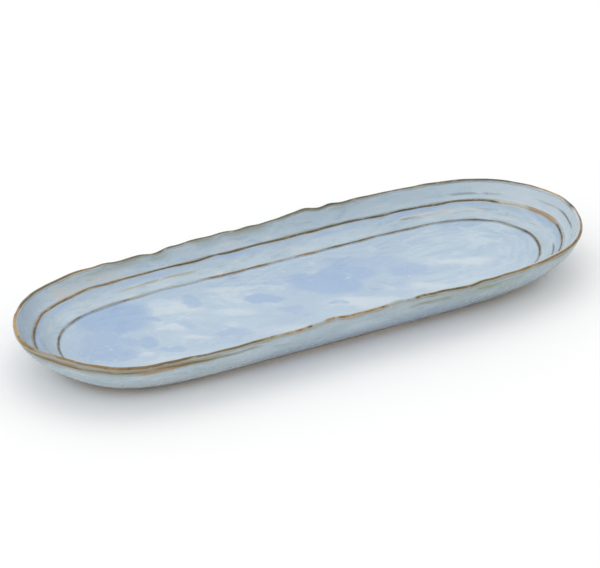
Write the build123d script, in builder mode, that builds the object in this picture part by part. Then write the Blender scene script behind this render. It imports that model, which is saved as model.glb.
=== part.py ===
from build123d import *
import math
import os

# Hand-built oblong serving platter: a shallow clay dish on an oval coil foot, with a coat of
# blue glaze laid on in separate areas and brown edging where the coat thins on the lip and on
# the two ridges that step down to the well. Millimetres, +X along the platter, +Z up, origin
# on the table under the middle of the foot.

# Overall sizes
LENGTH = 402.0
WIDTH = 139.5
HEIGHT = 33.0

# Lip
LIP_THICKNESS = 3.2
LIP_EDGING_HEIGHT = 1.5
LIP_CREST_WIDTH = 1.2

# Glaze coat over the clay, measured square to the surface
COAT = 0.5

# Ridges between the bands: how far inside the rim, and how far down as a share of the height
UPPER_RIDGE_INSET_X = 13.5
UPPER_RIDGE_INSET_Y = 9.1
UPPER_RIDGE_SHARE = 0.334
LOWER_RIDGE_INSET_X = 29.0
LOWER_RIDGE_INSET_Y = 22.5
LOWER_RIDGE_SHARE = 0.570
RIDGE_EDGING_HEIGHT = 1.5

# Well floor
FLOOR_SHARE = 0.652
FLOOR_THICKNESS = 4.5
FLAT_INSET = 25.0

# Outer wall: how far it draws in from the rim at table level, and the share of that which it
# draws in evenly, the rest coming in faster towards the table
BASE_INSET_X = 37.0
BASE_INSET_Y = 26.0
EVEN_DRAW = 0.22

# Foot ring: a clay coil under the dish
FOOT_LENGTH = 290.0
FOOT_WIDTH = 90.0
FOOT_BAND = 9.0
FOOT_HEIGHT = 3.0
FOOT_ROUND = 1.0
GLAZE_STOP_ABOVE_FOOT = 1.0
RECESS_TAPER = 2.0

# Plan outlines: long, nearly straight sides and blunt ends drawn to a soft tip. Each quarter is
# one Bezier curve from the +X tip to the middle of the +Y side, its handles given as shares of
# the outline's half length and half width.
RIM_HANDLES = ((1, 0.36), (0.87, 1.13), (0.72, 0.99), (0.40, 1))
WELL_HANDLES = ((1, 0.31), (0.91, 1.27), (0.72, 0.95), (0.39, 1))
BASE_HANDLES = ((1, 0.32), (0.90, 1.24), (0.72, 0.96), (0.40, 1))
FOOT_HANDLES = ((1, 0.35), (0.90, 0.67), (0.70, 0.99), (0.40, 1))


def between(first, second, share):
    """Handles part of the way from one plan shape to another."""
    return tuple(
        (x0 + (x1 - x0) * share, y0 + (y1 - y0) * share)
        for (x0, y0), (x1, y1) in zip(first, second)
    )


def stack(levels, ruled=False):
    """One solid through plan outlines, each given as (z, half length, half width, handles)."""
    with BuildPart() as stacked:
        for z, a, b, handles in levels:
            quarter = [(a * x, b * y) for x, y in ((1, 0), *handles, (0, 1))]
            with BuildSketch(Plane.XY.offset(z)):
                with BuildLine():
                    Bezier(*quarter)
                    Bezier(*[(-x, y) for x, y in reversed(quarter)])
                    Bezier(*[(-x, -y) for x, y in quarter])
                    Bezier(*[(x, -y) for x, y in reversed(quarter)])
                make_face()
        loft(ruled=ruled)
    return stacked.part


def square_offset(profile, distance):
    """Moves a profile of (inset, z) points square to itself, outwards and down into the clay."""
    moved = []
    for k, (inset, z) in enumerate(profile):
        before = profile[max(k - 1, 0)]
        after = profile[min(k + 1, len(profile) - 1)]
        run_in, drop = after[0] - before[0], before[1] - after[1]
        size = math.hypot(run_in, drop)
        moved.append((inset - distance * drop / size, z - distance * run_in / size))
    return moved


# Heights of the main features above the table
LIP_BASE_Z = HEIGHT - LIP_EDGING_HEIGHT
UPPER_RIDGE_Z = HEIGHT * (1 - UPPER_RIDGE_SHARE)
LOWER_RIDGE_Z = HEIGHT * (1 - LOWER_RIDGE_SHARE)
FLOOR_Z = HEIGHT * (1 - FLOOR_SHARE)
UNDERSIDE_Z = FLOOR_Z - COAT - FLOOR_THICKNESS
GLAZE_STOP_Z = FOOT_HEIGHT + GLAZE_STOP_ABOVE_FOOT

# Share of the long-axis inset for each millimetre of short-axis inset, band by band
UPPER_STRETCH = (UPPER_RIDGE_INSET_X - LIP_THICKNESS) / (UPPER_RIDGE_INSET_Y - LIP_THICKNESS)
LOWER_STRETCH = (LOWER_RIDGE_INSET_X - UPPER_RIDGE_INSET_X) / (
    LOWER_RIDGE_INSET_Y - UPPER_RIDGE_INSET_Y
)


def inside_level(inset, z):
    """Plan outline of the dish's inside at a short-axis inset from the rim."""
    upper = min(inset, UPPER_RIDGE_INSET_Y)
    lower = min(max(inset - UPPER_RIDGE_INSET_Y, 0), LOWER_RIDGE_INSET_Y - UPPER_RIDGE_INSET_Y)
    floor = max(inset - LOWER_RIDGE_INSET_Y, 0)
    inset_x = LIP_THICKNESS + UPPER_STRETCH * (upper - LIP_THICKNESS) + LOWER_STRETCH * lower + floor
    share = lower / (LOWER_RIDGE_INSET_Y - UPPER_RIDGE_INSET_Y)
    handles = between(RIM_HANDLES, WELL_HANDLES, share)
    return (z, LENGTH / 2 - inset_x, WIDTH / 2 - inset, handles)


def outside_level(z, inward=0.0):
    """Plan outline of the outer wall at a height, drawn inwards square to the wall."""
    down = (HEIGHT - z) / HEIGHT
    draw = EVEN_DRAW * down + (1 - EVEN_DRAW) * down**2
    lean = (EVEN_DRAW + 2 * (1 - EVEN_DRAW) * down) * BASE_INSET_Y / HEIGHT
    inset = inward * math.hypot(1, lean)
    a = LENGTH / 2 - BASE_INSET_X * draw - inset
    b = WIDTH / 2 - BASE_INSET_Y * draw - inset
    return (z, a, b, between(RIM_HANDLES, BASE_HANDLES, down))


# Section of each band between its ends, as (share of its run inwards, share of its fall): each
# is scooped, steep at the top and flattening towards the next ridge, which then drops sharply
UPPER_SCOOP = ((0.26, 0.44), (0.56, 0.76))
LOWER_SCOOP = ((0.08, 0.22), (0.30, 0.50), (0.64, 0.80))
WELL_SCOOP = ((0.05, 0.46), (0.20, 0.74), (0.55, 0.92))


def scooped(start, end, scoop):
    """Section points of one band, as (short-axis inset, z), from its top to its bottom."""
    run_in, fall = end[0] - start[0], start[1] - end[1]
    shares = ((0, 0), *scoop, (1, 1))
    return [(start[0] + run_in * inwards, start[1] - fall * down) for inwards, down in shares]


# Glazed surface of the dish's inside, from the lip in to the flat
LIP_EDGE = (LIP_THICKNESS, LIP_BASE_Z)
UPPER_RIDGE = (UPPER_RIDGE_INSET_Y, UPPER_RIDGE_Z)
LOWER_RIDGE = (LOWER_RIDGE_INSET_Y, LOWER_RIDGE_Z)
FLAT_EDGE = (LOWER_RIDGE_INSET_Y + FLAT_INSET, FLOOR_Z)
UPPER_BAND = scooped(LIP_EDGE, UPPER_RIDGE, UPPER_SCOOP)
LOWER_BAND = scooped(UPPER_RIDGE, LOWER_RIDGE, LOWER_SCOOP)
WELL_EDGE = scooped(LOWER_RIDGE, FLAT_EDGE, WELL_SCOOP)
GLAZED_PROFILE = UPPER_BAND + LOWER_BAND[1:] + WELL_EDGE[1:]


def hollow(profile):
    """The dish's inside as a solid, made of its three bands so that both ridges stay crisp."""
    ends = (0, len(UPPER_BAND) - 1, len(UPPER_BAND) + len(LOWER_BAND) - 2, len(profile) - 1)
    bands = []
    for first, last in zip(ends, ends[1:]):
        band = profile[first : last + 1]
        bands.append(stack([inside_level(inset, z) for inset, z in reversed(band)], ruled=True))
    with BuildPart() as whole:
        for band in bands:
            add(band)
    return whole.part


CLAY_PROFILE = square_offset(GLAZED_PROFILE, COAT)
CLAY_PROFILE[0] = (LIP_THICKNESS - COAT, LIP_BASE_Z)
glazed_hollow = hollow(GLAZED_PROFILE)
clay_hollow = hollow(CLAY_PROFILE)

WALL_LEVELS = [FOOT_HEIGHT + (LIP_BASE_Z - FOOT_HEIGHT) * k / 4 for k in range(5)]
clay_outside = stack([outside_level(z, COAT) for z in WALL_LEVELS])
glazed_outside = stack([outside_level(z) for z in WALL_LEVELS])

FOOT_A = FOOT_LENGTH / 2
FOOT_B = FOOT_WIDTH / 2
INNER_A = FOOT_A - FOOT_BAND
INNER_B = FOOT_B - FOOT_BAND
underside_recess = stack(
    [
        (FOOT_HEIGHT, INNER_A, INNER_B, FOOT_HANDLES),
        (UNDERSIDE_Z, INNER_A - RECESS_TAPER, INNER_B - RECESS_TAPER, FOOT_HANDLES),
    ]
)
foot_outside = stack(
    [
        (0, FOOT_A - FOOT_ROUND, FOOT_B - FOOT_ROUND, FOOT_HANDLES),
        (FOOT_ROUND, FOOT_A, FOOT_B, FOOT_HANDLES),
        (FOOT_HEIGHT, FOOT_A, FOOT_B, FOOT_HANDLES),
    ],
    ruled=True,
)
foot_inside = stack(
    [
        (0, INNER_A + FOOT_ROUND, INNER_B + FOOT_ROUND, FOOT_HANDLES),
        (FOOT_ROUND, INNER_A, INNER_B, FOOT_HANDLES),
        (FOOT_HEIGHT, INNER_A, INNER_B, FOOT_HANDLES),
    ],
    ruled=True,
)

# Clay dish, bare inside its coat
with BuildPart() as clay_body:
    add(clay_outside)
    add(clay_hollow, mode=Mode.SUBTRACT)
    add(underside_recess, mode=Mode.SUBTRACT)

# Coil foot luted under the dish
with BuildPart() as foot_ring:
    add(foot_outside)
    add(foot_inside, mode=Mode.SUBTRACT)

# Coat on the outer wall, stopping a little above the foot
with BuildPart() as outer_wall_glaze:
    add(glazed_outside)
    add(clay_outside, mode=Mode.SUBTRACT)
    split(bisect_by=Plane.XY.offset(GLAZE_STOP_Z), keep=Keep.TOP)

# Coat on the hollow under the dish, inside the foot
with BuildPart() as underside_glaze:
    add(underside_recess)
    split(bisect_by=Plane.XY.offset(UNDERSIDE_Z - COAT), keep=Keep.TOP)

# Coat over the whole inside, cut into areas at the edges of the ridge edging
with BuildPart() as inner_coat:
    add(clay_hollow)
    add(glazed_hollow, mode=Mode.SUBTRACT)

HALF_EDGING = RIDGE_EDGING_HEIGHT / 2
UPPER_CUTS = (UPPER_RIDGE_Z - HALF_EDGING, UPPER_RIDGE_Z + HALF_EDGING)
LOWER_CUTS = (LOWER_RIDGE_Z - HALF_EDGING, LOWER_RIDGE_Z + HALF_EDGING)

with BuildPart() as well_glaze:
    add(inner_coat.part)
    split(bisect_by=Plane.XY.offset(LOWER_CUTS[0]), keep=Keep.BOTTOM)

with BuildPart() as lower_ridge_edging:
    add(inner_coat.part)
    split(bisect_by=Plane.XY.offset(LOWER_CUTS[0]), keep=Keep.TOP)
    split(bisect_by=Plane.XY.offset(LOWER_CUTS[1]), keep=Keep.BOTTOM)

with BuildPart() as lower_band_glaze:
    add(inner_coat.part)
    split(bisect_by=Plane.XY.offset(LOWER_CUTS[1]), keep=Keep.TOP)
    split(bisect_by=Plane.XY.offset(UPPER_CUTS[0]), keep=Keep.BOTTOM)

with BuildPart() as upper_ridge_edging:
    add(inner_coat.part)
    split(bisect_by=Plane.XY.offset(UPPER_CUTS[0]), keep=Keep.TOP)
    split(bisect_by=Plane.XY.offset(UPPER_CUTS[1]), keep=Keep.BOTTOM)

with BuildPart() as upper_band_glaze:
    add(inner_coat.part)
    split(bisect_by=Plane.XY.offset(UPPER_CUTS[1]), keep=Keep.TOP)

# Rounded bead of edging that caps the lip
LIP_MIDDLE = LIP_THICKNESS / 2
lip_outside = stack(
    [
        outside_level(LIP_BASE_Z),
        outside_level(LIP_BASE_Z + 0.6 * LIP_EDGING_HEIGHT, 0.15 * LIP_THICKNESS),
        outside_level(HEIGHT, LIP_MIDDLE - LIP_CREST_WIDTH / 2),
    ]
)
lip_inside = stack(
    [
        inside_level(LIP_THICKNESS, LIP_BASE_Z),
        inside_level(LIP_THICKNESS * 0.85, LIP_BASE_Z + 0.6 * LIP_EDGING_HEIGHT),
        inside_level(LIP_MIDDLE + LIP_CREST_WIDTH / 2, HEIGHT),
    ]
)
with BuildPart() as rim_edging:
    add(lip_outside)
    add(lip_inside, mode=Mode.SUBTRACT)

os.makedirs("parts", exist_ok=True)
clay_body.part.label = "clay_body"
export_step(clay_body.part, "parts/clay_body.step")
foot_ring.part.label = "foot_ring"
export_step(foot_ring.part, "parts/foot_ring.step")
well_glaze.part.label = "well_glaze"
export_step(well_glaze.part, "parts/well_glaze.step")
lower_ridge_edging.part.label = "lower_ridge_edging"
export_step(lower_ridge_edging.part, "parts/lower_ridge_edging.step")
lower_band_glaze.part.label = "lower_band_glaze"
export_step(lower_band_glaze.part, "parts/lower_band_glaze.step")
upper_ridge_edging.part.label = "upper_ridge_edging"
export_step(upper_ridge_edging.part, "parts/upper_ridge_edging.step")
upper_band_glaze.part.label = "upper_band_glaze"
export_step(upper_band_glaze.part, "parts/upper_band_glaze.step")
rim_edging.part.label = "rim_edging"
export_step(rim_edging.part, "parts/rim_edging.step")
outer_wall_glaze.part.label = "outer_wall_glaze"
export_step(outer_wall_glaze.part, "parts/outer_wall_glaze.step")
underside_glaze.part.label = "underside_glaze"
export_step(underside_glaze.part, "parts/underside_glaze.step")
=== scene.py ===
import math

import bmesh
import bpy
import numpy as np
from mathutils import Matrix, Vector


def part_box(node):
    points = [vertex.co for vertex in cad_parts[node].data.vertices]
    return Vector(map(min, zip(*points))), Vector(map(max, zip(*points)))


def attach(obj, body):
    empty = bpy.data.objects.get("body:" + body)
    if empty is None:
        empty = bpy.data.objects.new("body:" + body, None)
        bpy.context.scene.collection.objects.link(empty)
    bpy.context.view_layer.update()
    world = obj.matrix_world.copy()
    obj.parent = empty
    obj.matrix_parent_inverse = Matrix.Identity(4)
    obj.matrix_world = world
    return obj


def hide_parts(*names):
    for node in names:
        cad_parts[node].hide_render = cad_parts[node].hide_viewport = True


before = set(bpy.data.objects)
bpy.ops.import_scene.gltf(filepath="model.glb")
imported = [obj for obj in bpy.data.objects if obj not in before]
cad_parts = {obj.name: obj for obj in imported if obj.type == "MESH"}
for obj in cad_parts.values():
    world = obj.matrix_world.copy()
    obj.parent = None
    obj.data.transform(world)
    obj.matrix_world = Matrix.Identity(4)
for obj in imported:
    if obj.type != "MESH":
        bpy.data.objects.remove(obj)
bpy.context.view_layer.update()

MM = 0.001

# ---------------------------------------------------------------- sizes
# The outer sizes and heights come from the CAD nodes. The section's are the same as in part.py.
rim_low, rim_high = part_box("rim_edging")
foot_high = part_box("foot_ring")[1]
hollow_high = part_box("underside_glaze")[1]
well_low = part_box("well_glaze")[0]
HALF_LENGTH = (rim_high.x - rim_low.x) / 2
HALF_WIDTH = (rim_high.y - rim_low.y) / 2
TOP = rim_high.z
LIP_BASE = rim_low.z
BASE = foot_high.z
LIP = 3.2 * MM
COAT = 0.5 * MM
UPPER_X, UPPER_Y, UPPER_DROP = 13.5 * MM, 9.1 * MM, 0.334 * TOP
LOWER_X, LOWER_Y, LOWER_DROP = 29.0 * MM, 22.5 * MM, 0.570 * TOP
FLAT_RUN = 25.0 * MM
FLOOR = well_low.z + COAT
BASE_X, BASE_Y = 37.0 * MM, 26.0 * MM
EVEN_DRAW = 0.22
GLAZE_STOP = BASE + 1.0 * MM
RECESS_TAPER = 2.0 * MM

# Half the width of a ridge's edging, and how deep the hidden back of a coat lies
EDGE_HALF = 0.95 * MM
BACKING = 0.9 * COAT

# Distances that the materials read across the lip, down the outer wall and over the flat
LIP_RUN = 4 * MM
WALL_RUN = 36 * MM
FLAT_MARK = 20 * MM

RIM_SHAPE = np.array([(1, 0), (1, 0.36), (0.87, 1.13), (0.72, 0.99), (0.40, 1), (0, 1)])
WELL_SHAPE = np.array([(1, 0), (1, 0.31), (0.91, 1.27), (0.72, 0.95), (0.39, 1), (0, 1)])
BASE_SHAPE = np.array([(1, 0), (1, 0.32), (0.90, 1.24), (0.72, 0.96), (0.40, 1), (0, 1)])
FOOT_SHAPE = np.array([(1, 0), (1, 0.35), (0.90, 0.67), (0.70, 0.99), (0.40, 1), (0, 1)])

AROUND = 1080
rng = np.random.default_rng(11)


# ---------------------------------------------------------------- plan outlines
def quarter(shape, t):
    """Points of one quarter of a plan outline, for a unit half length and half width."""
    n = len(shape) - 1
    weights = [math.comb(n, k) * (1 - t) ** (n - k) * t**k for k in range(n + 1)]
    return sum(w[:, None] * shape[k] for k, w in enumerate(weights))


def whole(shape, t, side):
    """Points all the way round: quarter place t, and the quarter each point is in."""
    x_sign = np.where((side == 1) | (side == 2), -1, 1)
    y_sign = np.where(side > 1, -1, 1)
    return quarter(shape, t) * np.stack([x_sign, y_sign], 1)


# Places round the rim, evenly spaced along it, from the +X tip towards +Y
fine_t = np.linspace(0, 1, 4001)
fine = quarter(RIM_SHAPE, fine_t) * [HALF_LENGTH, HALF_WIDTH]
fine_run = np.r_[0, np.cumsum(np.hypot(*np.diff(fine, axis=0).T))]
QUARTER_RUN = fine_run[-1]
PERIMETER = 4 * QUARTER_RUN
U = np.arange(AROUND) / AROUND
along = U * 4
SIDE = along.astype(int)
part = along - SIDE
forward = np.where(SIDE % 2 == 0, part, 1 - part)
T = np.interp(forward * QUARTER_RUN, fine_run, fine_t)
RIM_XY = whole(RIM_SHAPE, T, SIDE) * [HALF_LENGTH, HALF_WIDTH]


def outline(half_length, half_width, shape):
    """One plan outline as points (x, y) all the way round."""
    return whole(shape, T, SIDE) * [half_length, half_width]


def mix(a, b, share):
    """Part of the way from one plan shape to another."""
    return a + (b - a) * share


# ---------------------------------------------------------------- hand-made unevenness
def place(side, x):
    """Share round the rim of a place x millimetres along the far or near side."""
    there = (RIM_XY[:, 1] > 0) == (side == "far")
    gap = np.where(there, np.abs(RIM_XY[:, 0] - x * MM), 9)
    return U[gap.argmin()]


def swell(side, x, half, amount):
    """A soft swell of some millimetres centred on a place round the rim."""
    away = np.abs((U - place(side, x) + 0.5) % 1 - 0.5) * PERIMETER
    return amount * MM * np.exp(-((away / (half * MM)) ** 2))


def ripple(low, high, size):
    """Seeded ripples round the rim, from low to high waves in one turn, size mm on average."""
    total = np.zeros(AROUND)
    for k in range(low, high):
        total += rng.normal() * np.cos(2 * math.pi * (k * U + rng.random()))
    return total / total.std() * size * MM


def stretch(side, low, high, soft=18):
    """1 along one side between two places, fading out past them."""
    there = (RIM_XY[:, 1] > 0) == (side == "far")
    x = RIM_XY[:, 0] / MM
    rise = np.clip((x - low) / soft + 0.5, 0, 1) * np.clip((high - x) / soft + 0.5, 0, 1)
    return there * rise


PINCHED = 0.2 + np.maximum(0.75 * stretch("far", -135, 62), 0.3 * stretch("near", -70, 95))
RIM_RISE = ripple(34, 66, 0.36) * PINCHED + ripple(9, 22, 0.12)
for feature in (
    ("far", -75, 15, -2.2),
    ("far", -105, 16, -1.2),
    ("far", -150, 22, -0.8),
    ("far", -55, 7, 0.6),
    ("far", 20, 7, 0.7),
    ("far", 35, 12, 2.1),
    ("far", 60, 22, 1.5),
    ("far", 95, 20, 0.8),
    ("near", -190, 22, 2.2),
    ("near", -145, 16, -1.0),
    ("near", -100, 26, -0.8),
    ("near", -20, 11, 1.9),
    ("near", 30, 13, 1.8),
    ("near", 55, 15, 0.9),
    ("near", 80, 10, -0.7),
):
    RIM_RISE += swell(*feature)
RIM_SWELL = ripple(26, 60, 0.3) * PINCHED + ripple(7, 18, 0.15)
SIDES = 1 - 0.85 * np.clip((np.abs(RIM_XY[:, 0]) / MM - 130) / 40, 0, 1)
UPPER_SWELL = ripple(10, 32, 0.22) * SIDES
UPPER_RISE = ripple(10, 30, 0.1) * SIDES
for feature in (("far", -180, 12, 1.6), ("far", 128, 26, -1.2), ("far", 93, 15, -0.4)):
    UPPER_RISE += swell(*feature)
LOWER_SWELL = ripple(8, 28, 0.25) * SIDES + swell("far", -88, 20, 1.2)
LOWER_RISE = ripple(8, 26, 0.08) * SIDES + swell("far", -88, 20, 0.6)
SURFACE_LUMPS = [ripple(10 + 6 * k, 34 + 8 * k, 0.16) for k in range(4)]


def out_of(points):
    """Outward direction in plan at each place round an outline."""
    along_it = np.roll(points, -1, axis=0) - np.roll(points, 1, axis=0)
    out = np.stack([along_it[:, 1], -along_it[:, 0]], 1)
    return out / np.linalg.norm(out, axis=1)[:, None]


# ---------------------------------------------------------------- rings round the dish
def row(xy, z, swell_by, rise_by):
    """A ring of points from a plan outline, pushed outwards and up by small amounts."""
    xy = xy + out_of(xy) * np.asarray(swell_by)[..., None]
    return np.column_stack([xy, np.broadcast_to(z + rise_by, len(xy))])


def inside_row(inset, z):
    """A ring of the dish's inside at a short-axis inset from the rim."""
    upper = min(max(inset, LIP), UPPER_Y)
    lower = min(max(inset - UPPER_Y, 0), LOWER_Y - UPPER_Y)
    floor = max(inset - LOWER_Y, 0)
    inset_x = LIP + (UPPER_X - LIP) * (upper - LIP) / (UPPER_Y - LIP)
    inset_x += (LOWER_X - UPPER_X) * lower / (LOWER_Y - UPPER_Y) + floor
    inset_x += min(inset - LIP, 0)
    share = lower / (LOWER_Y - UPPER_Y)
    xy = outline(HALF_LENGTH - inset_x, HALF_WIDTH - inset, mix(RIM_SHAPE, WELL_SHAPE, share))
    weights = [
        np.interp(inset, [0, LIP, UPPER_Y], [1, 1, 0]),
        np.interp(inset, [LIP, UPPER_Y, LOWER_Y], [0, 1, 0]),
        np.interp(inset, [UPPER_Y, LOWER_Y, LOWER_Y + FLAT_RUN], [0, 1, 0]),
    ]
    lump = sum(w * math.sin(inset / MM * 0.33 * (k + 1) + k) for k, w in enumerate(SURFACE_LUMPS))
    lump = lump * np.interp(inset, [LIP, UPPER_Y, LOWER_Y + FLAT_RUN], [0.2, 1, 0.6])
    swell_by = weights[0] * RIM_SWELL + weights[1] * UPPER_SWELL + weights[2] * LOWER_SWELL
    rise_by = weights[0] * RIM_RISE + weights[1] * UPPER_RISE + weights[2] * LOWER_RISE
    return row(xy, z, swell_by, rise_by + 0.6 * lump)


def outside_row(z, inward=0.0):
    """A ring of the outer wall at a height, drawn inwards."""
    down = (TOP - z) / TOP
    draw = EVEN_DRAW * down + (1 - EVEN_DRAW) * down**2
    xy = outline(
        HALF_LENGTH - BASE_X * draw - inward,
        HALF_WIDTH - BASE_Y * draw - inward,
        mix(RIM_SHAPE, BASE_SHAPE, down),
    )
    up = np.clip((z - BASE) / (LIP_BASE - BASE), 0, 1)
    lump = sum(w * math.sin(z / MM * 0.3 * (k + 1) + 2 * k) for k, w in enumerate(SURFACE_LUMPS))
    lump = lump * 0.4 * up * (1 - up)
    return row(xy, z, RIM_SWELL * up**1.2 + lump, RIM_RISE * up**1.6)


# ---------------------------------------------------------------- section of the inside
UPPER_Z, LOWER_Z = TOP - UPPER_DROP, TOP - LOWER_DROP


def upper_z(s):
    """Height of the upper band at a share of the way from the lip to the upper ridge."""
    return LIP_BASE - (LIP_BASE - UPPER_Z) * (1 - (1 - s) ** 1.75)


def lower_z(s):
    """Height of the lower band at a share of the way from the upper ridge to the lower."""
    fall = 1 - (1 - s) ** 1.7 + 0.14 * (1 - math.exp(-s / 0.05)) * (1 - s)
    return UPPER_Z - (UPPER_Z - LOWER_Z) * fall


def well_z(s):
    """Height of the well at a share of the way from the lower ridge to its flat."""
    return LOWER_Z - (LOWER_Z - FLOOR) * (1 - 0.42 * math.exp(-s / 0.025) - 0.58 * (1 - s) ** 2.5)


def steps(count, power=1.0):
    """Shares from 0 to 1, closer together at the start where the power is over 1."""
    return [(k / count) ** power for k in range(count + 1)]


# Points (inset, z) from the lip in, the distance walked to each, and where the two ridges are
UPPER_STEPS = 16
LOWER_STEPS = 26
WELL_STEPS = 26
upper_run, lower_run = UPPER_Y - LIP, LOWER_Y - UPPER_Y
SECTION = [(LIP + upper_run * s, upper_z(s)) for s in steps(UPPER_STEPS)]
SECTION += [(UPPER_Y + lower_run * s, lower_z(s)) for s in steps(LOWER_STEPS, 1.5)[1:]]
SECTION += [(LOWER_Y + FLAT_RUN * s, well_z(s)) for s in steps(WELL_STEPS, 1.8)[1:]]
distance = [0.0]
for (i0, z0), (i1, z1) in zip(SECTION, SECTION[1:]):
    distance.append(distance[-1] + math.hypot(i1 - i0, z1 - z0))
UPPER_AT = distance[UPPER_STEPS]
LOWER_AT = distance[UPPER_STEPS + LOWER_STEPS]


def section_at(run):
    """(inset, z) of the inside's section at a distance from the lip."""
    return (
        float(np.interp(run, distance, [i for i, z in SECTION])),
        float(np.interp(run, distance, [z for i, z in SECTION])),
    )


# ---------------------------------------------------------------- meshes
def flow_of(run):
    """Where a ring's points lie for the materials: round the rim, and across the section."""
    radius = PERIMETER / (2 * math.pi)
    turn = 2 * math.pi * U
    return np.column_stack([np.cos(turn) * radius, np.sin(turn) * radius, np.full(AROUND, run)])


def put(name, node, rows, runs, faces):
    """Makes one piece that stands for a CAD node, its faces outwards, marked with its flow."""
    mesh = bpy.data.meshes.new(name)
    mesh.from_pydata([tuple(v) for v in np.concatenate(rows)], [], faces)
    mesh.validate()
    flow = mesh.attributes.new("flow", "FLOAT_VECTOR", "POINT")
    flow.data.foreach_set("vector", np.concatenate([flow_of(run) for run in runs]).ravel())
    mesh.update()
    for face in mesh.polygons:
        face.use_smooth = True
    shape = bmesh.new()
    shape.from_mesh(mesh)
    bmesh.ops.recalc_face_normals(shape, faces=shape.faces)
    shape.to_mesh(mesh)
    shape.free()
    piece = bpy.data.objects.new(name, mesh)
    bpy.context.scene.collection.objects.link(piece)
    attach(piece, "root")
    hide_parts(node)
    return piece


def ring_faces(rows, closed):
    """Quads between rings; a closed section joins its last ring to its first."""
    faces = []
    pairs = [(r, r + 1) for r in range(rows - 1)] + ([(rows - 1, 0)] if closed else [])
    for r0, r1 in pairs:
        for k in range(AROUND):
            k1 = (k + 1) % AROUND
            faces.append((r0 * AROUND + k, r0 * AROUND + k1, r1 * AROUND + k1, r1 * AROUND + k))
    return faces


def cap(row_number):
    """One face that fills a ring."""
    return tuple(range(row_number * AROUND, (row_number + 1) * AROUND))


def normals_of(grid):
    """Unit normals of a grid of rings, upwards where the rings run in from the lip."""
    across = np.gradient(grid, axis=0)
    around = np.roll(grid, -1, axis=1) - np.roll(grid, 1, axis=1)
    n = np.cross(around, across)
    return n / np.linalg.norm(n, axis=2)[..., None]


def coat_ring(name, node, rows, runs, into):
    """A closed ring of coat: its visible rings, and a back drawn into the clay.

    into is 1 if the clay lies along the rings' normals, and -1 if it lies against them."""
    grid = np.array(rows)
    back = (grid + into * BACKING * normals_of(grid))[::-1]
    faces = ring_faces(2 * len(rows), True)
    runs = list(runs)
    return put(name, node, [*grid, *back], runs + runs[::-1], faces)


def inside_rows(start, stop, count):
    """Rings of the inside between two distances from the lip."""
    runs = np.linspace(start, stop, count)
    return [inside_row(*section_at(run)) for run in runs], runs


UPPER_LINE = (UPPER_AT - EDGE_HALF, UPPER_AT + EDGE_HALF)
LOWER_LINE = (LOWER_AT - EDGE_HALF, LOWER_AT + EDGE_HALF)
inside_pieces = []
for name, node, start, stop, count, material_slot in (
    ("upper_band", "upper_band_glaze", 0, UPPER_LINE[0], 18, "band_glaze"),
    ("upper_ridge", "upper_ridge_edging", *UPPER_LINE, 9, "brown_edging"),
    ("lower_band", "lower_band_glaze", UPPER_LINE[1], LOWER_LINE[0], 26, "band_glaze"),
    ("lower_ridge", "lower_ridge_edging", *LOWER_LINE, 9, "brown_edging"),
):
    rows, runs = inside_rows(start, stop, count)
    inside_pieces.append(coat_ring(name, node, rows, runs, -1))

# The well: its scooped edge, then the flat drawn in to the middle
rows, runs = inside_rows(LOWER_LINE[1], distance[-1], 26)
runs = list(runs)
last = rows[-1]
for share in np.linspace(1, 0.02, 30)[1:]:
    ring = last * [share, share, 1]
    ring[:, 2] = FLOOR + (last[:, 2] - FLOOR) * share**2
    rows.append(ring)
    runs.append(distance[-1] + (1 - share) * FLAT_MARK)
count = len(rows)
back = [ring - [0, 0, BACKING] for ring in reversed(rows)]
innermost = range((count - 1) * AROUND, (count + 1) * AROUND)
faces = ring_faces(2 * count, True)
faces = [f for f in faces if not (min(f) in innermost and max(f) in innermost)]
faces += [cap(count - 1), cap(count)]
runs += runs[::-1]
inside_pieces.append(put("well", "well_glaze", rows + back, runs, faces))

# The rounded lip, in from the outer face over the crest
rows, runs = [], []
for share in steps(16):
    inset = LIP / 2 - LIP / 2 * math.cos(share * math.pi)
    z = LIP_BASE + (TOP - LIP_BASE) * math.sin(share * math.pi) ** 0.8
    rows.append(inside_row(inset, z))
    runs.append(LIP_RUN * (share - 1))
for inset in (LIP - 0.4 * MM, 0.4 * MM):
    rows.append(inside_row(inset, LIP_BASE - 0.2 * MM))
    runs.append(-LIP_RUN / 2)
faces = ring_faces(len(rows), True)
inside_pieces.append(put("lip", "rim_edging", rows, runs, faces))

# Outer wall down to where the glaze stops
rows = [outside_row(LIP_BASE + (GLAZE_STOP - LIP_BASE) * s) for s in steps(34)]
runs = [-LIP_RUN - WALL_RUN * s for s in steps(34)]
outer_wall = coat_ring("outer_wall", "outer_wall_glaze", rows, runs, 1)

# The clay: everything under the coat, bare below the glaze stop
rows = [inside_row(inset - 0.7 * COAT, z - COAT) for inset, z in SECTION[::-2]]
rows = [rows[0] * [s, s, 1] for s in (0.02, 0.35, 0.7)] + rows
rows.append(inside_row(0.8 * MM, LIP_BASE - 0.1 * MM))
for s in steps(16)[1:]:
    rows.append(outside_row(LIP_BASE + (GLAZE_STOP - LIP_BASE) * s, 1.1 * COAT))
rows.append(outside_row(BASE + 0.35 * MM, 1.1 * COAT))
rows.append(outside_row(BASE, 1.3 * MM))
recess_a, recess_b = hollow_high.x + RECESS_TAPER, hollow_high.y + RECESS_TAPER
rows.append(row(outline(recess_a + 0.5 * MM, recess_b + 0.5 * MM, FOOT_SHAPE), BASE, 0, 0))
for share in (1, 0.5, 0.02):
    ring = outline(hollow_high.x * share, hollow_high.y * share, FOOT_SHAPE)
    rows.append(row(ring, hollow_high.z + 0.05 * MM, 0, 0))
count = len(rows)
runs = [MM * k for k in range(count)]
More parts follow.
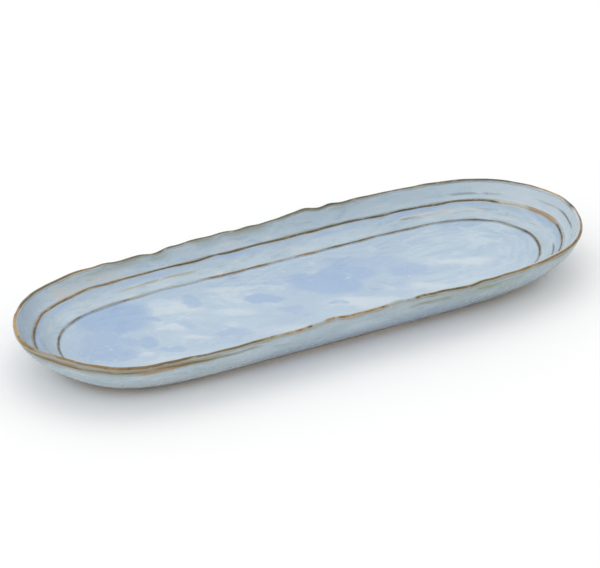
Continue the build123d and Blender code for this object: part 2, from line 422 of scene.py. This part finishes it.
faces = ring_faces(count, False) + [cap(0), cap(count - 1)]
clay = put("clay", "clay_body", rows, runs, faces)

# Coil foot with a worn, rounded standing edge
FOOT_WAVE = ripple(6, 26, 0.3)
rows = []
for inset, z in (
    (0.0, BASE),
    (0.0, 0.62 * BASE),
    (0.25, 0.3 * BASE),
    (0.8, 0.1 * BASE),
    (1.7, 0.0),
    (4.5, 0.0),
    (7.3, 0.0),
    (8.2, 0.1 * BASE),
    (8.75, 0.3 * BASE),
    (9.0, 0.62 * BASE),
    (9.0, BASE),
):
    ring = outline(foot_high.x - inset * MM, foot_high.y - inset * MM, FOOT_SHAPE)
    rows.append(row(ring, z, FOOT_WAVE * (1 - inset / 18) - 0.3 * MM * (inset < 4.5), 0))
runs = [MM * k for k in range(len(rows))]
foot = put("foot", "foot_ring", rows, runs, ring_faces(len(rows), True))


# ---------------------------------------------------------------- material helpers
def colour(r, g, b):
    """A linear colour from everyday 0-255 values."""

    def linear(c):
        c = c / 255
        return c / 12.92 if c <= 0.04045 else ((c + 0.055) / 1.055) ** 2.4

    return (linear(r), linear(g), linear(b), 1)


class Nodes:
    """A material being built, with short calls for the nodes it uses."""

    def __init__(self, name):
        self.material = bpy.data.materials.new(name)
        self.material.use_nodes = True
        self.tree = self.material.node_tree
        self.tree.nodes.clear()
        self.shader = self.add("ShaderNodeBsdfPrincipled")
        out = self.add("ShaderNodeOutputMaterial")
        self.link(self.shader.outputs[0], out.inputs["Surface"])
        self.place = self.add("ShaderNodeTexCoord").outputs["Object"]
        flow = self.add("ShaderNodeAttribute")
        flow.attribute_name = "flow"
        self.flow = flow.outputs["Vector"]

    def add(self, kind):
        return self.tree.nodes.new(kind)

    def link(self, a, b):
        self.tree.links.new(a, b)

    def feed(self, socket, value):
        if hasattr(value, "is_linked"):
            self.link(value, socket)
        else:
            socket.default_value = value

    def scaled(self, vector, x, y, z):
        node = self.add("ShaderNodeMapping")
        self.link(vector, node.inputs["Vector"])
        node.inputs["Scale"].default_value = (x, y, z)
        return node.outputs[0]

    def noise(self, vector, scale, detail=4.0, rough=0.55, twist=0.0, shift=0.0):
        node = self.add("ShaderNodeTexNoise")
        node.noise_dimensions = "4D"
        self.link(vector, node.inputs["Vector"])
        node.inputs["W"].default_value = shift
        node.inputs["Scale"].default_value = scale
        node.inputs["Detail"].default_value = detail
        node.inputs["Roughness"].default_value = rough
        node.inputs["Distortion"].default_value = twist
        return node.outputs[0]

    def span(self, value, low, high, to_low=0.0, to_high=1.0):
        """Eases from to_low to to_high as the value goes from low to high."""
        node = self.add("ShaderNodeMapRange")
        node.interpolation_type = "SMOOTHSTEP"
        self.feed(node.inputs["Value"], value)
        node.inputs["From Min"].default_value = low
        node.inputs["From Max"].default_value = high
        node.inputs["To Min"].default_value = to_low
        node.inputs["To Max"].default_value = to_high
        return node.outputs["Result"]

    def maths(self, operation, a, b=0.0):
        node = self.add("ShaderNodeMath")
        node.operation = operation
        self.feed(node.inputs[0], a)
        self.feed(node.inputs[1], b)
        return node.outputs[0]

    def blend(self, share, a, b):
        node = self.add("ShaderNodeMix")
        node.data_type = "RGBA"
        self.feed(node.inputs[0], share)
        self.feed(node.inputs[6], a)
        self.feed(node.inputs[7], b)
        return node.outputs[2]

    def axis(self, vector, name):
        node = self.add("ShaderNodeSeparateXYZ")
        self.link(vector, node.inputs[0])
        return node.outputs[name]

    def blob(self, x, y, half_x, half_y, turn=0.0, soft=0.8, place=None):
        """1 in the middle of an oval area of the plan, in millimetres, and 0 outside it."""
        node = self.add("ShaderNodeMapping")
        node.vector_type = "TEXTURE"
        self.link(place or self.place, node.inputs["Vector"])
        node.inputs["Location"].default_value = (x * MM, y * MM, 0)
        node.inputs["Rotation"].default_value = (0, 0, math.radians(turn))
        node.inputs["Scale"].default_value = (half_x * MM, half_y * MM, 1)
        length = self.add("ShaderNodeVectorMath")
        length.operation = "LENGTH"
        self.link(node.outputs[0], length.inputs[0])
        return self.span(length.outputs["Value"], 1.0, 1.0 - soft)

    def ragged(self, scale, reach, shift):
        """The place, pushed about by noise, so that what is drawn there has a ragged edge."""
        node = self.add("ShaderNodeTexNoise")
        node.noise_dimensions = "4D"
        self.link(self.place, node.inputs["Vector"])
        node.inputs["W"].default_value = shift
        node.inputs["Scale"].default_value = scale
        node.inputs["Detail"].default_value = 4
        middle = self.add("ShaderNodeVectorMath")
        middle.operation = "SUBTRACT"
        self.link(node.outputs["Color"], middle.inputs[0])
        middle.inputs[1].default_value = (0.5, 0.5, 0.5)
        push = self.add("ShaderNodeVectorMath")
        push.operation = "MULTIPLY_ADD"
        self.link(middle.outputs[0], push.inputs[0])
        push.inputs[1].default_value = (reach, reach, 0)
        self.link(self.place, push.inputs[2])
        return push.outputs[0]

    def times(self, first, *others):
        for other in others:
            first = self.maths("MULTIPLY", first, other)
        return first

    def between(self, value, low, high, soft):
        """1 between two places given in millimetres, fading to 0 soft millimetres outside them."""
        rise = self.span(value, (low - soft) * MM, low * MM)
        return self.maths("MULTIPLY", rise, self.span(value, (high + soft) * MM, high * MM))

    def bump(self, height, strength, size):
        node = self.add("ShaderNodeBump")
        node.inputs["Strength"].default_value = strength
        node.inputs["Distance"].default_value = size
        self.link(height, node.inputs["Height"])
        return node.outputs[0]


PALE = colour(177, 195, 210)
MILK = colour(192, 206, 217)
PERIWINKLE = colour(155, 178, 207)
DEEP = colour(147, 171, 204)
GREY_BLUE = colour(173, 190, 201)
CLOUD = colour(196, 202, 206)
WARM_CLOUD = colour(192, 190, 186)
ORANGE_BROWN = colour(146, 112, 60)
BRIGHT_ORANGE = colour(172, 134, 70)
BROWN = colour(98, 82, 50)
OLIVE = colour(84, 80, 62)
DARK = colour(56, 54, 46)
MOSS = colour(140, 150, 146)
TAN = colour(168, 160, 134)
CREAM = colour(206, 200, 186)


def glaze_finish(n, tint, lumpy=0.22):
    """Glassy coat with a soft uneven surface, over a colour."""
    n.feed(n.shader.inputs["Base Color"], tint)
    rough = n.noise(n.place, 60, 3, shift=4.0)
    n.link(n.span(rough, 0.3, 0.7, 0.18, 0.34), n.shader.inputs["Roughness"])
    n.shader.inputs["IOR"].default_value = 1.5
    n.shader.inputs["Specular IOR Level"].default_value = 0.4
    peel = n.noise(n.place, 150, 3, 0.5, shift=1.0)
    lumps = n.noise(n.place, 34, 3, 0.5, 0.4, shift=2.0)
    height = n.maths("ADD", n.times(peel, 0.2), lumps)
    n.link(n.bump(height, lumpy, 0.001), n.shader.inputs["Normal"])


def near_run(n, run, half, soft, wander=0.0):
    """1 on a line across the section, fading to 0 half + soft away; the line wanders a little."""
    down = n.axis(n.flow, "Z")
    if wander:
        drift = n.noise(n.scaled(n.flow, 1, 1, 0), 16, 2, 0.5, shift=run * 900)
        down = n.maths("ADD", down, n.span(drift, 0.25, 0.75, -wander, wander))
    gap = n.maths("ABSOLUTE", n.maths("SUBTRACT", down, run))
    return n.span(gap, half + soft, half)


def brown_line(n, tint, run, half, shade, where, dashes, wander, shift):
    """A line of iron brown where the coat is thin: soft halo, wavering width and dashes."""
    dash = n.noise(n.scaled(n.flow, 1, 1, 1.5), 52, 5, 0.62, 0.8, shift=3.0 + shift)
    grain = n.noise(n.scaled(n.flow, 1, 1, 2.5), 130, 5, 0.6, 0.8, shift=6.0 + shift)
    halo = n.times(near_run(n, run, half, 1.4 * MM, wander), where)
    halo = n.times(halo, n.span(dash, 0.35, 0.62, 0.05, 0.5))
    tint = n.blend(halo, tint, TAN)
    core = n.times(near_run(n, run, 0.5 * half, 0.8 * half, wander), n.span(dash, *dashes), where)
    shade = n.blend(n.span(grain, 0.52, 0.70, 0, 0.7), shade, TAN)
    shade = n.blend(n.span(grain, 0.47, 0.34, 0, 0.7), shade, DARK)
    return n.blend(core, tint, shade)


# Brushed patches on the floor of the well: centre, half sizes (mm) and strength. Each lies
# along the brush's direction.
BRUSH_TURN = -28
DEEP_PATCHES = (
    (-125, 35, 32, 24, 0.9),
    (-145, 5, 18, 22, 0.7),
    (-115, -5, 8, 8, 0.8),
    (-125, 0, 6, 8, 0.7),
    (-105, -20, 12, 6, 0.8),
    (-140, -10, 16, 12, 0.7),
    (-100, 20, 7, 4, 0.7),
    (-85, 5, 8, 6, 0.4),
    (-70, 30, 8, 9, 0.6),
    (20, 10, 30, 17, 0.95),
    (40, 15, 24, 11, 0.8),
    (-25, 10, 12, 5, 0.9),
    (15, -15, 9, 4, 0.8),
    (-15, 25, 6, 4, 0.6),
    (-60, -20, 15, 5, 0.6),
    (-15, -10, 12, 4, 0.6),
    (60, 20, 34, 12, 0.45),
    (80, 0, 18, 10, 0.7),
    (140, 40, 24, 7, 0.6),
)
PALE_PATCHES = (
    (115, -5, 26, 7, 0.9),
    (75, -25, 30, 8, 0.9),
    (35, -25, 44, 10, 0.9),
    (-15, -40, 46, 10, 0.7),
    (-80, 25, 22, 9, 0.8),
    (-95, 5, 13, 5, 0.8),
    (-85, -10, 16, 5, 0.8),
    (-125, -15, 9, 4, 0.8),
    (-120, -30, 10, 4, 0.7),
    (-50, 5, 22, 7, 0.7),
    (-40, 30, 20, 6, 0.6),
)


def well_colours(n, x, y):
    """Pale blue with deep and pale brushed patches, and smaller dabs between them."""
    patches = n.noise(n.place, 15, 4, 0.55, 0.5, shift=0.4)
    dabs = n.noise(n.scaled(n.place, 1, 1.25, 1), 46, 4, 0.55, 0.5, shift=3.1)
    flecks = n.noise(n.scaled(n.place, 1, 1.3, 1), 105, 4, 0.6, 0.5, shift=7.7)
    sweep = n.noise(n.scaled(n.flow, 1, 1, 7), 22, 5, 0.6, 0.8, shift=5.2)
    right = n.span(x, 0.045, 0.100)
    tint = n.blend(n.span(patches, 0.38, 0.62), PALE, colour(170, 189, 207))
    tint = n.blend(n.span(dabs, 0.48, 0.60, 0, 0.35), tint, colour(164, 185, 206))
    light = n.times(n.span(dabs, 0.46, 0.38), n.span(patches, 0.58, 0.46), 0.7)
    tint = n.blend(light, tint, MILK)
    tint = n.blend(n.times(right, n.span(sweep, 0.46, 0.62), 0.5), tint, colour(190, 204, 214))
    tint = n.blend(n.times(right, n.span(sweep, 0.46, 0.34), 0.45), tint, colour(160, 183, 206))
    edge = n.ragged(52, 0.022, 2.5)
    for cx, cy, half_x, half_y, strength in PALE_PATCHES:
        pale = n.blob(cx, cy, half_x, half_y, BRUSH_TURN, 0.7, edge)
        tint = n.blend(n.times(pale, strength), tint, colour(198, 209, 217))
    for cx, cy, half_x, half_y, strength in DEEP_PATCHES:
        deep = n.blob(cx, cy, half_x, half_y, BRUSH_TURN, 0.38, edge)
        tint = n.blend(n.times(deep, strength), tint, PERIWINKLE)
    spots = n.times(n.span(dabs, 0.57, 0.64), n.span(patches, 0.46, 0.56), n.span(x, 0.09, 0.05))
    tint = n.blend(n.times(spots, 0.4), tint, DEEP)
    tint = n.blend(n.span(flecks, 0.60, 0.68, 0, 0.5), tint, MILK)
    return n.blend(n.span(y, -0.010, -0.045, 0, 0.5), tint, colour(188, 203, 215))


def band_colours(n, x, down):
    """Greyer blue, brushed along the rim, with cloudy smudges and deeper glaze under ridges."""
    sweep = n.scaled(n.flow, 1, 1, 4)
    wash = n.noise(sweep, 20, 4, 0.58, 0.6, shift=1.3)
    marks = n.noise(sweep, 60, 5, 0.6, 0.9, shift=8.1)
    upper = n.span(down, UPPER_AT + 0.5 * MM, UPPER_AT - 0.5 * MM)
    tint = n.blend(n.span(wash, 0.38, 0.62), GREY_BLUE, colour(180, 197, 209))
    tint = n.blend(n.span(marks, 0.52, 0.66, 0, 0.7), tint, CLOUD)
    tint = n.blend(n.span(marks, 0.47, 0.34, 0, 0.6), tint, colour(154, 174, 192))
    warm = n.times(upper, n.between(x, -152, -108, 10), n.span(marks, 0.40, 0.60), 0.8)
    tint = n.blend(warm, tint, WARM_CLOUD)
    pale = n.times(upper, n.span(x, 0.155, 0.175), n.span(wash, 0.40, 0.58, 0.3, 0.9))
    tint = n.blend(pale, tint, colour(196, 205, 213))
    left_end = n.times(n.span(x, -0.150, -0.185), n.span(wash, 0.35, 0.55, 0.3, 0.8))
    tint = n.blend(left_end, tint, colour(140, 158, 174))
    tint = n.blend(n.times(upper, n.span(x, 0.02, 0.12), 0.4), tint, colour(186, 202, 212))
    under_lip = n.times(n.span(down, 0.006, 0.0005), n.between(x, -140, 80, 20))
    haze = n.times(under_lip, n.span(wash, 0.46, 0.60, 0, 0.7))
    tint = n.blend(haze, tint, colour(146, 154, 144))
    pool = near_run(n, UPPER_AT + 3.2 * MM, 0.8 * MM, 2.4 * MM, 0.8 * MM)
    tint = n.blend(n.times(pool, n.span(wash, 0.42, 0.60, 0.15, 0.7)), tint, colour(156, 180, 212))
    return tint


def stray_marks(n, tint, x, far, near):
    """Short brushed marks of tan and olive on the bands, where the brush ran off the ridges."""
    runs = n.noise(n.scaled(n.flow, 1, 1, 9), 26, 4, 0.6, 0.7, shift=2.6)
    middle = (UPPER_AT + LOWER_AT) / 2
    for run, width, where, shade, strength in (
        (middle - 1.5 * MM, 0.7, n.times(far, n.between(x, 104, 133, 5)), ORANGE_BROWN, 0.6),
        (middle - 2.0 * MM, 1.3, n.times(far, n.between(x, 118, 156, 8)), CREAM, 0.7),
        (middle - 2.6 * MM, 0.5, n.times(far, n.between(x, 157, 165, 3)), OLIVE, 0.7),
        (middle - 0.5 * MM, 1.3, n.times(far, n.between(x, 167, 178, 4)), MOSS, 0.7),
        (0.6 * UPPER_AT, 0.6, n.times(far, n.between(x, 138, 166, 10)), colour(140, 152, 156), 0.8),
        (0.46 * UPPER_AT, 0.5, n.times(near, n.between(x, 156, 200, 8)), OLIVE, 0.75),
        (0.46 * UPPER_AT, 0.3, n.times(far, n.span(x, 0.186, 0.192)), colour(130, 134, 130), 0.5),
        (middle - 1.0 * MM, 0.6, n.times(near, n.between(x, 148, 172, 5)), OLIVE, 0.75),
        (middle + 0.5 * MM, 0.4, n.times(far, n.span(x, 0.174, 0.178)), TAN, 0.5),
        (middle - 1.0 * MM, 0.8, n.times(far, n.between(x, -100, -58, 10)), TAN, 0.8),
        (middle - 2.0 * MM, 0.6, n.times(near, n.between(x, -186, -172, 3)), BROWN, 0.6),
        (0.5 * UPPER_AT, 0.9, n.times(far, n.between(x, -124, -108, 5)), TAN, 0.6),
    ):
        line = near_run(n, run, width * 0.5 * MM, (0.5 + 0.5 * width) * MM, 0.7 * MM)
        tint = n.blend(n.times(line, where, n.span(runs, 0.44, 0.56, 0.05, strength)), tint, shade)
    return tint


def inside_material():
    """The whole inside of the dish: well, bands, lip and the brown lines between them."""
    n = Nodes("inside_coat")
    x, y = n.axis(n.place, "X"), n.axis(n.place, "Y")
    down = n.axis(n.flow, "Z")
    far = n.span(y, -0.004, 0.010)
    near = n.span(y, 0.006, -0.006)
    into_well = n.span(down, LOWER_AT - 0.6 * MM, LOWER_AT + 0.6 * MM)
    tint = n.blend(into_well, band_colours(n, x, down), well_colours(n, x, y))
    tint = stray_marks(n, tint, x, far, near)
    slow = n.noise(n.scaled(n.flow, 1, 1, 0), 13, 3, 0.5, 0.4, shift=2.2)

    # Lower ridge: dark at both ends, faint tan and then orange brown in between
    shade = n.blend(n.span(slow, 0.42, 0.58), ORANGE_BROWN, BROWN)
    shade = n.blend(n.times(n.span(x, 0.07, 0.13), 0.7), shade, OLIVE)
    shade = n.blend(n.span(x, -0.148, -0.162), shade, OLIVE)
    faint = n.times(far, n.between(x, -98, -55, 12))
    shade = n.blend(n.times(faint, 0.7), shade, TAN)
    where = n.maths("SUBTRACT", 1, n.times(faint, 0.4))
    thin = n.span(n.noise(n.scaled(n.flow, 1, 1, 0), 24, 2, 0.5, shift=7.1), 0.38, 0.56, 0.5, 1)
    where = n.times(where, thin)
    dashes = (0.28, 0.48, 0.4, 1)
    tint = brown_line(n, tint, LOWER_AT, 0.8 * MM, shade, where, dashes, 0.35 * MM, 1.1)

    # Upper ridge: olive and brown, opening to cream and tan round the right end
    shade = n.blend(n.span(slow, 0.44, 0.60), BROWN, OLIVE)
    shade = n.blend(n.times(n.between(x, -172, -90, 12), 0.6), shade, ORANGE_BROWN)
    cream = n.times(far, n.between(x, 171, 181, 5))
    tan_end = n.times(n.span(y, -0.012, 0.0), n.span(x, 0.180, 0.184))
    opened = n.maths("MAXIMUM", cream, tan_end)
    wide = near_run(n, UPPER_AT, 0.9 * MM, 1.0 * MM, 0.3 * MM)
    tint = n.blend(n.times(cream, wide, 0.8), tint, CREAM)
    tint = n.blend(n.times(tan_end, wide, 0.85), tint, colour(176, 142, 104))
    gone = n.times(near, n.span(x, -0.150, -0.165))
    where = n.maths("SUBTRACT", 1, n.maths("MAXIMUM", n.times(opened, 0.75), n.times(gone, 0.8)))
    dashes = (0.28, 0.46, 0.5, 1)
    tint = brown_line(n, tint, UPPER_AT, 0.8 * MM, shade, where, dashes, 0.3 * MM, 2.7)

    # Lip: thin dark olive along the far side, orange round the ends, broad and broken nearer
    back = n.times(far, n.between(x, -108, 186, 8))
    tips = n.maths("MAXIMUM", n.span(x, -0.186, -0.193), n.times(far, n.span(x, 0.188, 0.193)))
    shade = n.blend(n.span(slow, 0.42, 0.58), ORANGE_BROWN, BROWN)
    shade = n.blend(tips, shade, BRIGHT_ORANGE)
    shade = n.blend(n.times(back, 0.9), shade, OLIVE)
    left_near = n.times(near, n.span(x, -0.070, -0.110))
    shade = n.blend(n.times(left_near, n.span(slow, 0.38, 0.52, 0.4, 0.9)), shade, BROWN)
    right_near = n.times(near, n.between(x, 146, 196, 4))
    shade = n.blend(n.times(right_near, 0.6), shade, colour(140, 108, 64))
    smudge = n.blob(200, -6, 9, 11)
    shade = n.blend(n.times(smudge, 0.9), shade, DARK)
    gaps = n.noise(n.scaled(n.flow, 1, 1, 0.5), 38, 4, 0.6, 0.5, shift=9.9)
    broken = n.times(near, n.between(x, -66, 40, 10))
    where = n.maths("SUBTRACT", 1, n.times(broken, n.span(gaps, 0.56, 0.46, 0, 0.9)))
    notch = n.times(near, n.between(x, -196, -191, 2), n.span(gaps, 0.6, 0.5, 0.5, 1))
    where = n.maths("SUBTRACT", where, n.times(notch, 0.8))
    broad = n.maths("MAXIMUM", n.maths("MAXIMUM", left_near, n.times(back, 0.7)), smudge)
    crest = -2.0 * MM
    outer_half = n.times(near, n.span(down, -1.8 * MM, -3.2 * MM))
    tint = n.blend(n.times(outer_half, 0.8), tint, colour(150, 158, 154))
    dashes = (0.26, 0.44, 0.6, 1)
    far_lip = brown_line(n, tint, crest, 0.9 * MM, shade, where, dashes, 0.4 * MM, 4.4)
    outward = crest - 0.8 * MM
    near_lip = brown_line(n, tint, outward, 0.8 * MM, shade, where, dashes, 0.3 * MM, 4.4)
    dashes = (0.26, 0.42, 0.8, 1)
    wide_lip = brown_line(n, tint, crest, 1.5 * MM, shade, where, dashes, 0.4 * MM, 4.4)
    tint = n.blend(broad, n.blend(near, far_lip, near_lip), wide_lip)
    glaze_finish(n, tint)
    return n.material


def outer_material():
    """Grey blue brushed along the wall, with brown and green smears under the lip."""
    n = Nodes("outer_coat")
    x, y = n.axis(n.place, "X"), n.axis(n.place, "Y")
    down = n.axis(n.flow, "Z")
    near = n.span(y, 0.006, -0.006)
    sweep = n.scaled(n.flow, 1, 1, 3)
    wash = n.noise(sweep, 20, 4, 0.58, 0.7, shift=4.4)
    dabs = n.noise(sweep, 64, 5, 0.6, 0.9, shift=6.1)
    streaks = n.noise(n.scaled(n.flow, 1, 1, 8), 34, 4, 0.6, 0.8, shift=1.9)
    tint = n.blend(n.span(wash, 0.36, 0.62), colour(158, 174, 184), colour(174, 190, 199))
    tint = n.blend(n.span(dabs, 0.5, 0.66, 0, 0.5), tint, colour(188, 201, 209))
    tint = n.blend(n.span(dabs, 0.46, 0.34, 0, 0.5), tint, colour(142, 162, 176))
    low = n.span(down, -0.016, -0.032)
    tint = n.blend(n.times(low, n.span(x, -0.05, -0.10), 0.6), tint, colour(192, 203, 208))
    tint = n.blend(n.times(low, n.between(x, -50, 110, 30), 0.55), tint, colour(148, 166, 190))
    moss = n.times(n.span(x, 0.03, 0.09), n.span(wash, 0.42, 0.58), 0.6)
    tint = n.blend(moss, tint, colour(140, 151, 142))
    smear = n.times(n.span(down, -0.014, -0.004), n.span(dabs, 0.42, 0.58), 0.45)
    tint = n.blend(smear, tint, colour(142, 140, 118))
    left = n.times(near, n.span(x, -0.080, -0.115))
    under_lip = n.times(left, n.span(down, -0.0135, -0.006), n.span(streaks, 0.30, 0.52, 0.45, 0.9))
    tint = n.blend(under_lip, tint, colour(142, 132, 102))
    for place_x, run, half, shade, strength in (
        (106, -9.5 * MM, 14, colour(132, 146, 112), 0.75),
        (54, -10.5 * MM, 12, colour(126, 122, 96), 0.7),
        (-132, -9.0 * MM, 12, colour(162, 124, 76), 0.8),
        (-96, -8.0 * MM, 22, colour(120, 112, 84), 0.6),
    ):
        line = near_run(n, run, 0.6 * MM, 1.8 * MM, 0.8 * MM)
        there = n.times(near, n.between(x, place_x - half, place_x + half, half / 2))
        broken = n.span(streaks, 0.40, 0.54, 0.1, strength)
        tint = n.blend(n.times(line, there, broken), tint, shade)

    # A brown edge just under the lip, doubled along the left of the near side
    slow = n.noise(n.scaled(n.flow, 1, 1, 0), 13, 3, 0.5, 0.4, shift=2.2)
    shade = n.blend(n.span(slow, 0.42, 0.58), ORANGE_BROWN, BROWN)
    gaps = n.noise(n.scaled(n.flow, 1, 1, 0.5), 38, 4, 0.6, 0.5, shift=9.9)
    edge = near_run(n, -4.4 * MM, 0.4 * MM, 1.1 * MM, 0.4 * MM)
    tint = n.blend(n.times(edge, n.span(gaps, 0.46, 0.60, 0, 0.6)), tint, shade)
    second = n.times(left, near_run(n, -7.2 * MM, 0.5 * MM, 1.1 * MM, 1.2 * MM))
    tint = n.blend(n.times(second, n.span(streaks, 0.40, 0.54, 0.05, 0.85)), tint, BROWN)
    # Painted shade: a dark grey-blue band along the lowest part of the glaze, where the wall curves
    # under towards the floor
    painted_bottom_shade = n.span(down, -0.0375, -0.0398, 0, 0.75)
    tint = n.blend(painted_bottom_shade, tint, colour(92, 98, 106))
    glaze_finish(n, tint, 0.04)
    return n.material


def clay_material(name, shade):
    """Bare fired clay with fine grog in it."""
    n = Nodes(name)
    body = n.noise(n.place, 90, 6, 0.65, shift=3.3)
    grog = n.noise(n.place, 700, 3, 0.6, shift=1.1)
    tint = n.blend(n.span(body, 0.35, 0.65), colour(*shade), colour(*[c * 0.86 for c in shade]))
    tint = n.blend(n.span(grog, 0.62, 0.75, 0, 0.6), tint, colour(104, 88, 70))
    n.link(tint, n.shader.inputs["Base Color"])
    n.link(n.span(body, 0.3, 0.7, 0.72, 0.92), n.shader.inputs["Roughness"])
    n.link(n.bump(n.maths("ADD", grog, body), 0.4, 0.0004), n.shader.inputs["Normal"])
    return n.material


inside = inside_material()
for piece in inside_pieces:
    piece.data.materials.append(inside)
outer_wall.data.materials.append(outer_material())
clay.data.materials.append(clay_material("clay", (186, 170, 148)))
foot.data.materials.append(clay_material("bare_foot", (178, 160, 136)))

# The hollow's glaze keeps its CAD shape and gets a material of its own
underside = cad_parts["underside_glaze"]
n = Nodes("underside_coat")
wash = n.noise(n.place, 26, 5, 0.6, 0.8, shift=4.4)
spots = n.noise(n.place, 120, 4, 0.6, 0.4, shift=2.9)
tint = n.blend(n.span(wash, 0.36, 0.62), colour(158, 176, 186), colour(186, 200, 208))
tint = n.blend(n.span(spots, 0.62, 0.72, 0, 0.7), tint, colour(150, 132, 104))
glaze_finish(n, tint)
underside.data.materials.clear()
underside.data.materials.append(n.material)

# ---------------------------------------------------------------- floor, light and camera
FLOOR_HALF = 6.0
floor_mesh = bpy.data.meshes.new("floor")
corners = [(x * FLOOR_HALF, y * FLOOR_HALF, 0) for x, y in ((-1, -1), (1, -1), (1, 1), (-1, 1))]
floor_mesh.from_pydata(corners, [], [(0, 1, 2, 3)])
floor = bpy.data.objects.new("floor", floor_mesh)
bpy.context.scene.collection.objects.link(floor)
n = Nodes("floor")
n.shader.inputs["Base Color"].default_value = (0.93, 0.93, 0.93, 1)
n.shader.inputs["Roughness"].default_value = 0.9
n.shader.inputs["Specular IOR Level"].default_value = 0.1
floor.data.materials.append(n.material)

world = bpy.data.worlds.new("studio")
world.use_nodes = True
world.node_tree.nodes["Background"].inputs["Color"].default_value = (1, 1, 1, 1)
world.node_tree.nodes["Background"].inputs["Strength"].default_value = 1.0
bpy.context.scene.world = world


def area_light(name, place, aim, size, power):
    """A soft rectangular lamp that faces a point."""
    light = bpy.data.lights.new(name, "AREA")
    light.shape = "RECTANGLE"
    light.size, light.size_y = size
    light.energy = power
    lamp = bpy.data.objects.new(name, light)
    lamp.location = place
    lamp.rotation_euler = (Vector(aim) - Vector(place)).to_track_quat("-Z", "Y").to_euler()
    bpy.context.scene.collection.objects.link(lamp)


area_light("overhead", (0.1, 0.5, 1.6), (0, 0, 0), (1.6, 1.2), 3)
area_light("left", (-1.5, -0.6, 0.9), (0, 0, 0.02), (0.9, 0.9), 1.5)

# The camera looks at the middle of the dish, at lip height, from the photograph's angle
AZIMUTH, ELEVATION = math.radians(-27.98), math.radians(28.77)
DISTANCE = 1.9352
back = Vector(
    (
        math.sin(AZIMUTH) * math.cos(ELEVATION),
        -math.cos(AZIMUTH) * math.cos(ELEVATION),
        math.sin(ELEVATION),
    )
)
sideways = Vector((math.cos(AZIMUTH), math.sin(AZIMUTH), 0))
upward = back.cross(sideways)
camera_data = bpy.data.cameras.new("camera")
camera_data.sensor_width = 36
camera_data.lens = 180
camera_data.shift_x = -0.0097
camera_data.shift_y = -0.0273
camera_data.clip_end = 50
camera = bpy.data.objects.new("camera", camera_data)
camera.matrix_world = Matrix(
    (
        (sideways.x, upward.x, back.x, back.x * DISTANCE),
        (sideways.y, upward.y, back.y, back.y * DISTANCE),
        (sideways.z, upward.z, back.z, back.z * DISTANCE + TOP),
        (0, 0, 0, 1),
    )
)
bpy.context.scene.collection.objects.link(camera)
bpy.context.scene.camera = camera
bpy.context.scene.view_settings.view_transform = "Standard"
